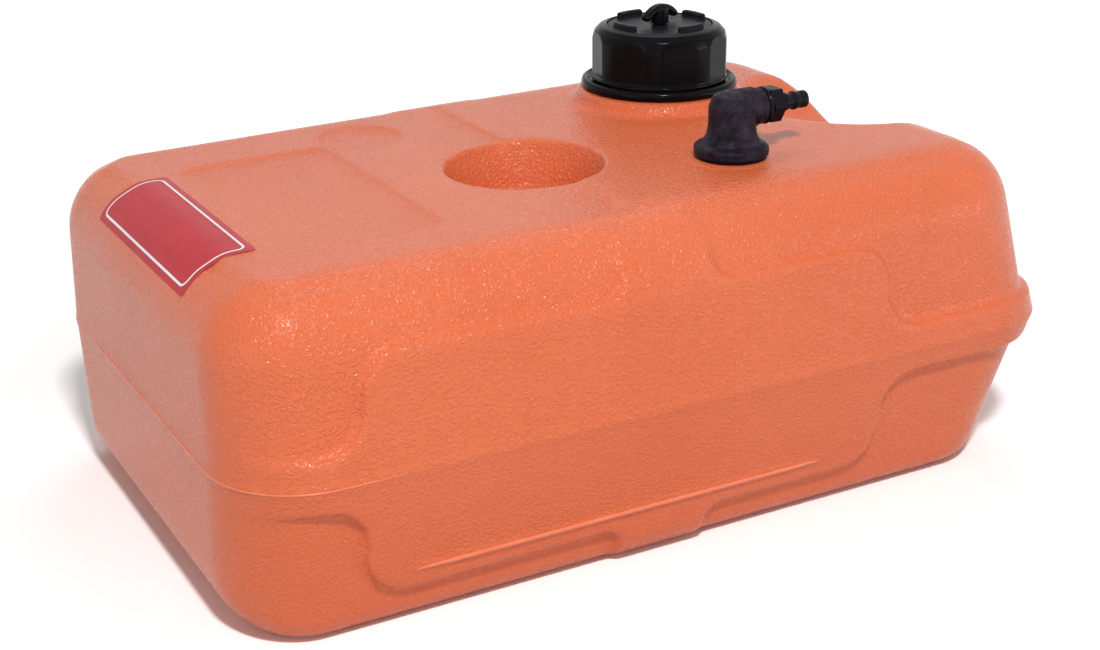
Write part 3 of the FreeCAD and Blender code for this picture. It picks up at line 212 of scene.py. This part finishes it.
def black_material(name, color, roughness, spread, grain_scale, depth, strength):
    """Black plastic or rubber: uneven gloss over two sizes of grain."""
    shader = Shader(name, color, roughness, Specular_IOR_Level=0.06)
    fine = shader.noise(grain_scale, 3.0, 0.6)
    broad = shader.noise(grain_scale / 14, 2.0)
    shader.link(shader.span(broad, 0.3, 0.7, roughness - spread, roughness + spread), "Roughness")
    shader.bumps((broad, depth * 3, strength * 0.4), (fine, depth, strength))
    return shader.material


def mottled_glint_material():
    """Elbow plastic, dull, with a fine grain and a random mottle whose pale specks are partly the
    plastic's own mottling and partly painted glints for its sparkle.
    """
    shader = Shader("elbow_plastic_painted_glints", (0.012, 0.009, 0.014), 0.5, Specular_IOR_Level=0.10)
    fine = shader.noise(1500, 4.0, 0.7)
    cloud = shader.noise(160, 3.0, 0.6)
    mix = shader.math("ADD", shader.math("MULTIPLY", fine, 0.5), shader.math("MULTIPLY", cloud, 0.5))
    # Pale specks in the base colour: partly the plastic's mottling, partly painted glints.
    shader.link(shader.ramp(mix, [(0.42, (0.002, 0.001, 0.003)), (0.62, (0.030, 0.019, 0.037))]),
                "Base Color")
    shader.link(shader.span(mix, 0.4, 0.65, 0.60, 0.38), "Roughness")
    shader.bumps((cloud, 0.0004, 0.3), (fine, 0.00014, 0.8))
    return shader.material


def steel_material():
    """Drawn stainless steel with lines along Z."""
    shader = Shader("steel", (0.55, 0.55, 0.54), 0.30, Metallic=1.0)
    stretched = shader.node("ShaderNodeVectorMath", {0: shader.place, 1: (1, 1, 12)},
                            operation="MULTIPLY").outputs["Vector"]
    lines = shader.noise(1500, 2.0, place=stretched)
    shader.link(shader.span(lines, 0.3, 0.7, 0.24, 0.40), "Roughness")
    shader.bumps((lines, 0.00003, 0.3))
    return shader.material


def vinyl_material(name, low, high, roughness):
    """Printed vinyl film: an even colour with slight mottling and a waxy gloss."""
    shader = Shader(name, high, roughness, Specular_IOR_Level=0.16)
    shader.link(shader.ramp(shader.noise(90, 3.0), [(0.3, low), (0.7, high)]), "Base Color")
    shader.bumps((shader.noise(420, 2.0), 0.00004, 0.3))
    return shader.material


TANK = tank_material()
HIGHLIT_LINE = highlit_line_material()
CAP = black_material("cap_plastic", (0.004, 0.0035, 0.0045), 0.20, 0.04, 1100, 0.00006, 0.3)
COLLAR = black_material("collar_plastic", (0.004, 0.0035, 0.005), 0.15, 0.03, 700, 0.00004, 0.2)
DISC = black_material("disc_plastic", (0.007, 0.006, 0.008), 0.36, 0.05, 1600, 0.00008, 0.45)
KNOB = black_material("knob_plastic", (0.005, 0.0045, 0.006), 0.20, 0.04, 900, 0.00005, 0.3)
ELBOW = mottled_glint_material()
BARB = black_material("barb_plastic", (0.009, 0.008, 0.011), 0.30, 0.05, 1300, 0.00006, 0.3)
RUBBER = black_material("seal_rubber", (0.006, 0.006, 0.007), 0.20, 0.04, 700, 0.00004, 0.25)
INNER = black_material("inner_plastic", (0.050, 0.050, 0.052), 0.45, 0.05, 1300, 0.00006, 0.3)
STEEL = steel_material()
VINYL = vinyl_material("label_red", (0.44, 0.009, 0.019), (0.51, 0.015, 0.027), 0.34)
BORDER = vinyl_material("label_white", (0.80, 0.78, 0.78), (0.88, 0.86, 0.86), 0.36)

# Solids that show as they are, with the material of each.
PLAIN_NODES = {"cap_gasket": RUBBER, "vent_seal": RUBBER, "vent_clip": STEEL,
               "pickup_gasket": RUBBER, "pickup_tube": INNER, "strainer_cage": INNER,
               "strainer_mesh": STEEL}

# Moulded pieces: node, body, slot, material, voxel and number of relaxing passes.
MOULDED = [
    ("tank_shell", "tank", "tank", TANK, 0.0013, 2),
    ("neck_collar", "neck_collar", "cap", COLLAR, 0.00040, 10),
    ("filler_cap", "filler_cap", "cap", CAP, 0.00042, 8),
    ("cap_disc", "filler_cap", "cap", DISC, 0.00030, 5),
    ("vent_knob", "vent_knob", "cap", KNOB, 0.00022, 6),
    ("pickup_elbow", "tank", "fitting", ELBOW, 0.00035, 7),
    ("hose_barb", "tank", "fitting", BARB, 0.00022, 4),
    ("barb_seal", "tank", "seal", RUBBER, 0.00018, 8),
]


def paint(obj, material):
    obj.data.materials.clear()
    obj.data.materials.append(material)


def shade_smooth(mesh):
    mesh.polygons.foreach_set("use_smooth", [True] * len(mesh.polygons))
    mesh.update()


def new_piece(name, mesh, material, body):
    """A smooth piece that rides on a body and takes the given material."""
    piece = bpy.data.objects.new(name, mesh)
    bpy.context.collection.objects.link(piece)
    shade_smooth(piece.data)
    paint(piece, material)
    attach(piece, body)
    return piece


def moulded(node, body, slot, material, voxel, passes):
    """A solid remeshed finely and relaxed, so that its edges are soft as moulding leaves them."""
    source = bpy.data.objects.new(node + "_source", NODES[node].data.copy())
    bpy.context.collection.objects.link(source)
    welded = bmesh.new()
    welded.from_mesh(source.data)
    bmesh.ops.remove_doubles(welded, verts=welded.verts, dist=WELD)
    if node == "tank_shell":
        height, slope = ROOF
        for vertex in welded.verts:
            if abs(vertex.co.z - height - slope * vertex.co.x) < ROOF_BAND:
                vertex.co.z -= ROOF_DROP
    welded.to_mesh(source.data)
    welded.free()
    remesh = source.modifiers.new("remesh", "REMESH")
    remesh.mode = "VOXEL"
    remesh.voxel_size = voxel
    relax(source, passes)
    piece = new_piece("moulded_" + node, evaluated(source), material, body)
    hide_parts(node)
    return piece


def relax(obj, passes, group=""):
    """Smooth an object, or only its vertex group."""
    modifier = obj.modifiers.new("relax", "SMOOTH")
    modifier.factor = 0.5
    modifier.iterations = passes
    modifier.vertex_group = group


def evaluated(obj):
    """The mesh of an object with its modifiers, which then goes."""
    graph = bpy.context.evaluated_depsgraph_get()
    mesh = bpy.data.meshes.new_from_object(obj.evaluated_get(graph), depsgraph=graph)
    bpy.data.objects.remove(obj)
    return mesh


def keeps_its_edges(place):
    """Whether a place on the tank belongs to the flat top, the neck or the elbow's pad."""
    flat_from, flat_half = FLAT_TOP
    top = ROOF[0] + ROOF[1] * place.x
    flat = place.x > flat_from and abs(place.y) < flat_half and place.z > top - TOP_BAND
    pad = place.z > PAD_FOOT and (place.xy - PICK_AXIS).length < PAD_RADIUS
    neck = place.z > NECK_FOOT and (place.xy - CAP_AXIS).length < NECK_RADIUS
    return flat or pad or neck


def soften_sides(piece):
    """Relax the tank's sides further, and its rounded top edge most."""
    sides = piece.vertex_groups.new(name="sides")
    edge = piece.vertex_groups.new(name="edge")
    soft = [vertex for vertex in piece.data.vertices if not keeps_its_edges(vertex.co)]
    sides.add([vertex.index for vertex in soft], 1.0, "REPLACE")
    edge.add([vertex.index for vertex in soft if vertex.co.z > ROUND_FOOT], 1.0, "REPLACE")
    relax(piece, SIDE_PASSES, sides.name)
    relax(piece, ROUND_PASSES, edge.name)
    graph = bpy.context.evaluated_depsgraph_get()
    relaxed = bpy.data.meshes.new_from_object(piece.evaluated_get(graph), depsgraph=graph)
    piece.modifiers.clear()
    piece.vertex_groups.clear()
    piece.data = relaxed


def surface_of(piece):
    return BVHTree.FromObject(piece, bpy.context.evaluated_depsgraph_get())


def on_surface(surface, start, toward):
    """Where a ray meets the tank, with the surface's normal there."""
    place, normal, index, distance = surface.ray_cast(start, toward.normalized())
    if place is None:
        raise RuntimeError("no surface at %s" % start)
    return place, normal


def ridge(name, path, radius):
    """A half-sunk moulded line along a path, thin at both ends."""
    mesh = bmesh.new()
    sides, taper = 10, 12
    last = len(path) - 1
    rings = []
    for step, (place, normal) in enumerate(path):
        ahead = path[min(step + 1, last)][0] - path[max(step - 1, 0)][0]
        across = ahead.cross(normal).normalized()
        thin = min(1.0, (min(step, last - step) + 0.4) / taper) ** 0.5
        ring = []
        for side in range(sides):
            angle = 2 * math.pi * side / sides
            out = across * math.cos(angle) + normal * math.sin(angle)
            ring.append(mesh.verts.new(place + out * radius * thin - normal * radius * 0.25))
        rings.append(ring)
    for ring, following in zip(rings, rings[1:]):
        for side in range(sides):
            beside = (side + 1) % sides
            mesh.faces.new((ring[side], ring[beside], following[beside], following[side]))
    for ring in (rings[0][::-1], rings[-1]):
        mesh.faces.new(ring)
    bmesh.ops.recalc_face_normals(mesh, faces=mesh.faces)
    data = bpy.data.meshes.new(name)
    mesh.to_mesh(data)
    mesh.free()
    return new_piece(name, data, HIGHLIT_LINE, "tank")


def panel_line(surface):
    """The raised line low on the front panel."""
    steps = 120
    start, end = LINE_ENDS
    path = []
    for step in range(steps + 1):
        x = start + (end - start) * step / steps
        path.append(on_surface(surface, Vector((x, -0.2, LINE_HEIGHT)), Vector((0, 1, 0))))
    return ridge("panel_line", path, LINE_RADIUS)


def seam_line(surface):
    """The parting line where it shows: across the left end and round its front corner."""
    centre = Vector((-0.120, -0.055, SEAM_HEIGHT))
    far = Vector((-0.120, 0.070, SEAM_HEIGHT))
    path = []
    for step in range(90):
        start = far.lerp(centre, step / 90)
        path.append(on_surface(surface, start + Vector((-0.2, 0, 0)), Vector((1, 0, 0))))
    for step in range(101):
        angle = math.radians(180 + 76 * step / 100)
        way = Vector((math.cos(angle), math.sin(angle), 0))
        path.append(on_surface(surface, centre + way * 0.3, -way))
    return ridge("parting_line", path, SEAM_RADIUS)


def shoulder_profile(surface):
    """Smoothed radii of the rounding under the label, evenly from its lower edge to its upper."""
    steps = 40
    radii = []
    for step in range(steps + 1):
        angle = math.radians(LABEL_ANGLES[0] + (LABEL_ANGLES[1] - LABEL_ANGLES[0]) * step / steps)
        out = Vector((-math.cos(angle), 0, math.sin(angle)))
        reach = []
        for y in (LABEL_ENDS[0], 0.0, LABEL_ENDS[1]):
            axis = Vector((SHOULDER.x, y, SHOULDER.z))
            place, normal = on_surface(surface, axis + out * 0.08, -out)
            reach.append((place - axis).length)
        radii.append(max(reach))
    radii = [max(radii[max(step - 2, 0):step + 3]) for step in range(steps + 1)]
    near = [radii[max(step - 3, 0):step + 4] for step in range(steps + 1)]
    return [sum(window) / len(window) for window in near]


def label_point(profile, along, up, rise):
    """A point of the label: along it and up it from 0 to 1, and its height off the tank."""
    angle = math.radians(LABEL_ANGLES[0] + (LABEL_ANGLES[1] - LABEL_ANGLES[0]) * up)
    y = LABEL_ENDS[0] + (LABEL_ENDS[1] - LABEL_ENDS[0]) * along
    out = Vector((-math.cos(angle), 0, math.sin(angle)))
    step = min(int(up * (len(profile) - 1)), len(profile) - 2)
    share = up * (len(profile) - 1) - step
    radius = profile[step] * (1 - share) + profile[step + 1] * share
    return Vector((SHOULDER.x, y, SHOULDER.z)) + out * (radius + rise)


def label_size():
    """Length and height of the label, flat."""
    turn = math.radians(LABEL_ANGLES[1] - LABEL_ANGLES[0])
    return LABEL_ENDS[1] - LABEL_ENDS[0], SHOULDER_RADIUS * turn


def rounded_edge(inset, corner, steps=8):
    """Outline of a rounded rectangle inside the label, in the label's own metres."""
    length, height = label_size()
    left, right, low, high = inset, length - inset, inset, height - inset
    outline = []
    for x, y, start in ((right - corner, low + corner, -90), (right - corner, high - corner, 0),
                        (left + corner, high - corner, 90), (left + corner, low + corner, 180)):
        for step in range(steps + 1):
            angle = math.radians(start + 90 * step / steps)
            outline.append(Vector((x + corner * math.cos(angle), y + corner * math.sin(angle))))
    return outline


def spread(outline, pitch):
    """The same outline with points at most a pitch apart."""
    points = []
    for a, b in zip(outline, outline[1:] + outline[:1]):
        count = max(1, math.ceil((b - a).length / pitch))
        points += [a.lerp(b, step / count) for step in range(count)]
    return points


def film(name, profile, outlines, rise, material):
    """A film on the shoulder, from outlines that follow each other inwards."""
    length, height = label_size()
    mesh = bmesh.new()
    loops = [[mesh.verts.new(label_point(profile, p.x / length, p.y / height, rise))
              for p in outline]
             for outline in outlines]
    count = len(outlines[0])
    for outer, inner in zip(loops, loops[1:]):
        for index in range(count):
            beside = (index + 1) % count
            mesh.faces.new((outer[index], outer[beside], inner[beside], inner[index]))
    if (outlines[-1][0] - outlines[-1][count // 2]).length < LABEL_CORE:
        mesh.faces.new(loops[-1])
    data = bpy.data.meshes.new(name)
    mesh.to_mesh(data)
    mesh.free()
    return new_piece(name, data, material, "tank")


def label(surface):
    """A blank red label with a white border line, wrapped over the left shoulder."""
    length, height = label_size()
    middle = Vector((length / 2, height / 2))
    edge_corner, line_corner = LABEL_CORNERS
    edge = spread(rounded_edge(0.0, edge_corner), LABEL_PITCH)
    inwards = [[p.lerp(middle, 0.999 * ring / LABEL_RINGS) for p in edge]
               for ring in range(LABEL_RINGS + 1)]
    profile = shoulder_profile(surface)
    film("label_film", profile, inwards, FILM_RISE, VINYL)
    line = spread(rounded_edge(BORDER_INSET, line_corner), LABEL_PITCH)
    inner = []
    for before, here, after in zip(line[-1:] + line[:-1], line, line[1:] + line[:1]):
        way = (after - before).normalized()
        inner.append(here + Vector((-way.y, way.x)) * BORDER_WIDTH)
    film("label_border", profile, [line, inner], BORDER_RISE, BORDER)


def camera():
    """The photograph's viewpoint."""
    data = bpy.data.cameras.new("camera")
    data.sensor_width = SENSOR_WIDTH
    data.lens = FOCAL_LENGTH
    data.clip_start = 0.01
    obj = bpy.data.objects.new("camera", data)
    bpy.context.collection.objects.link(obj)
    heading, pitch, roll = (math.radians(turn) for turn in CAMERA_TURNS)
    look = Vector((math.cos(pitch) * math.cos(heading), math.cos(pitch) * math.sin(heading),
                   -math.sin(pitch)))
    level = look.cross(Vector((0, 0, 1))).normalized()
    upright = level.cross(look)
    right = level * math.cos(roll) + upright * math.sin(roll)
    up = upright * math.cos(roll) - level * math.sin(roll)
    axes = Matrix((right, up, -look)).transposed()
    obj.matrix_world = Matrix.Translation(CAMERA_PLACE) @ axes.to_4x4()
    bpy.context.scene.camera = obj


def softbox(name, toward, distance, width, height, power):
    """A rectangular lamp that faces the tank from one side."""
    data = bpy.data.lights.new(name, "AREA")
    data.shape = "RECTANGLE"
    data.size = width
    data.size_y = height
    data.energy = power
    obj = bpy.data.objects.new(name, data)
    bpy.context.collection.objects.link(obj)
    obj.location = LAMP_AIM + Vector(toward).normalized() * distance
    obj.rotation_euler = (LAMP_AIM - obj.location).to_track_quat("-Z", "Y").to_euler()


def in_sight(tree):
    """One for rays from the camera and for those that gloss or clear pieces send on."""
    path = tree.nodes.new("ShaderNodeLightPath")
    total = path.outputs["Is Camera Ray"]
    for name in ("Is Glossy Ray", "Is Transmission Ray"):
        either = tree.nodes.new("ShaderNodeMath")
        either.operation = "MAXIMUM"
        tree.links.new(total, either.inputs[0])
        tree.links.new(path.outputs[name], either.inputs[1])
        total = either.outputs[0]
    return total


def world():
    """Even studio light, seen as white."""
    made = bpy.data.worlds.new("studio")
    bpy.context.scene.world = made
    made.use_nodes = True
    tree = made.node_tree
    tree.nodes.clear()
    shades = []
    for strength in WORLD_STRENGTHS:
        shade = tree.nodes.new("ShaderNodeBackground")
        shade.inputs["Color"].default_value = (1, 1, 1, 1)
        shade.inputs["Strength"].default_value = strength
        shades.append(shade)
    mix = tree.nodes.new("ShaderNodeMixShader")
    out = tree.nodes.new("ShaderNodeOutputWorld")
    tree.links.new(in_sight(tree), mix.inputs[0])
    for socket, shade in enumerate(shades, start=1):
        tree.links.new(shade.outputs[0], mix.inputs[socket])
    tree.links.new(mix.outputs[0], out.inputs["Surface"])


def ground():
    """A pale floor, seen as white except in the tank's shadow, and far off too."""
    half = FLOOR_HALF
    mesh = bpy.data.meshes.new("ground")
    mesh.from_pydata([(-half, -half, 0), (half, -half, 0), (half, half, 0), (-half, half, 0)],
                     [], [(0, 1, 2, 3)])
    floor = bpy.data.objects.new("ground", mesh)
    floor.location.z = -FLOOR_DROP
    bpy.context.collection.objects.link(floor)
    material = bpy.data.materials.new("ground")
    material.use_nodes = True
    tree = material.node_tree
    tree.nodes.clear()
    shades = [tree.nodes.new("ShaderNodeBsdfDiffuse") for step in range(2)]
    shades[0].inputs["Color"].default_value = (*[FLOOR_VALUE] * 3, 1)
    place = tree.nodes.new("ShaderNodeTexCoord")
    reach = tree.nodes.new("ShaderNodeVectorMath")
    reach.operation = "LENGTH"
    tree.links.new(place.outputs["Object"], reach.inputs[0])
    fade = tree.nodes.new("ShaderNodeMapRange")
    limits = ("From Min", "From Max", "To Min", "To Max")
    for name, value in zip(limits, FLOOR_REACH + FLOOR_SEEN):
        fade.inputs[name].default_value = value
    tree.links.new(reach.outputs["Value"], fade.inputs["Value"])
    tree.links.new(fade.outputs["Result"], shades[1].inputs["Color"])
    mix = tree.nodes.new("ShaderNodeMixShader")
    out = tree.nodes.new("ShaderNodeOutputMaterial")
    tree.links.new(in_sight(tree), mix.inputs[0])
    for socket, shade in enumerate(shades, start=1):
        tree.links.new(shade.outputs[0], mix.inputs[socket])
    tree.links.new(mix.outputs[0], out.inputs["Surface"])
    paint(floor, material)


for name, material in PLAIN_NODES.items():
    paint(NODES[name], material)
pieces = {row[0]: moulded(*row) for row in MOULDED}
soften_sides(pieces["tank_shell"])
surface = surface_of(pieces["tank_shell"])
panel_line(surface)
seam_line(surface)
label(surface)

camera()
world()
ground()
for lamp in LAMPS:
    softbox(*lamp)
bpy.context.scene.view_settings.view_transform = "Standard"
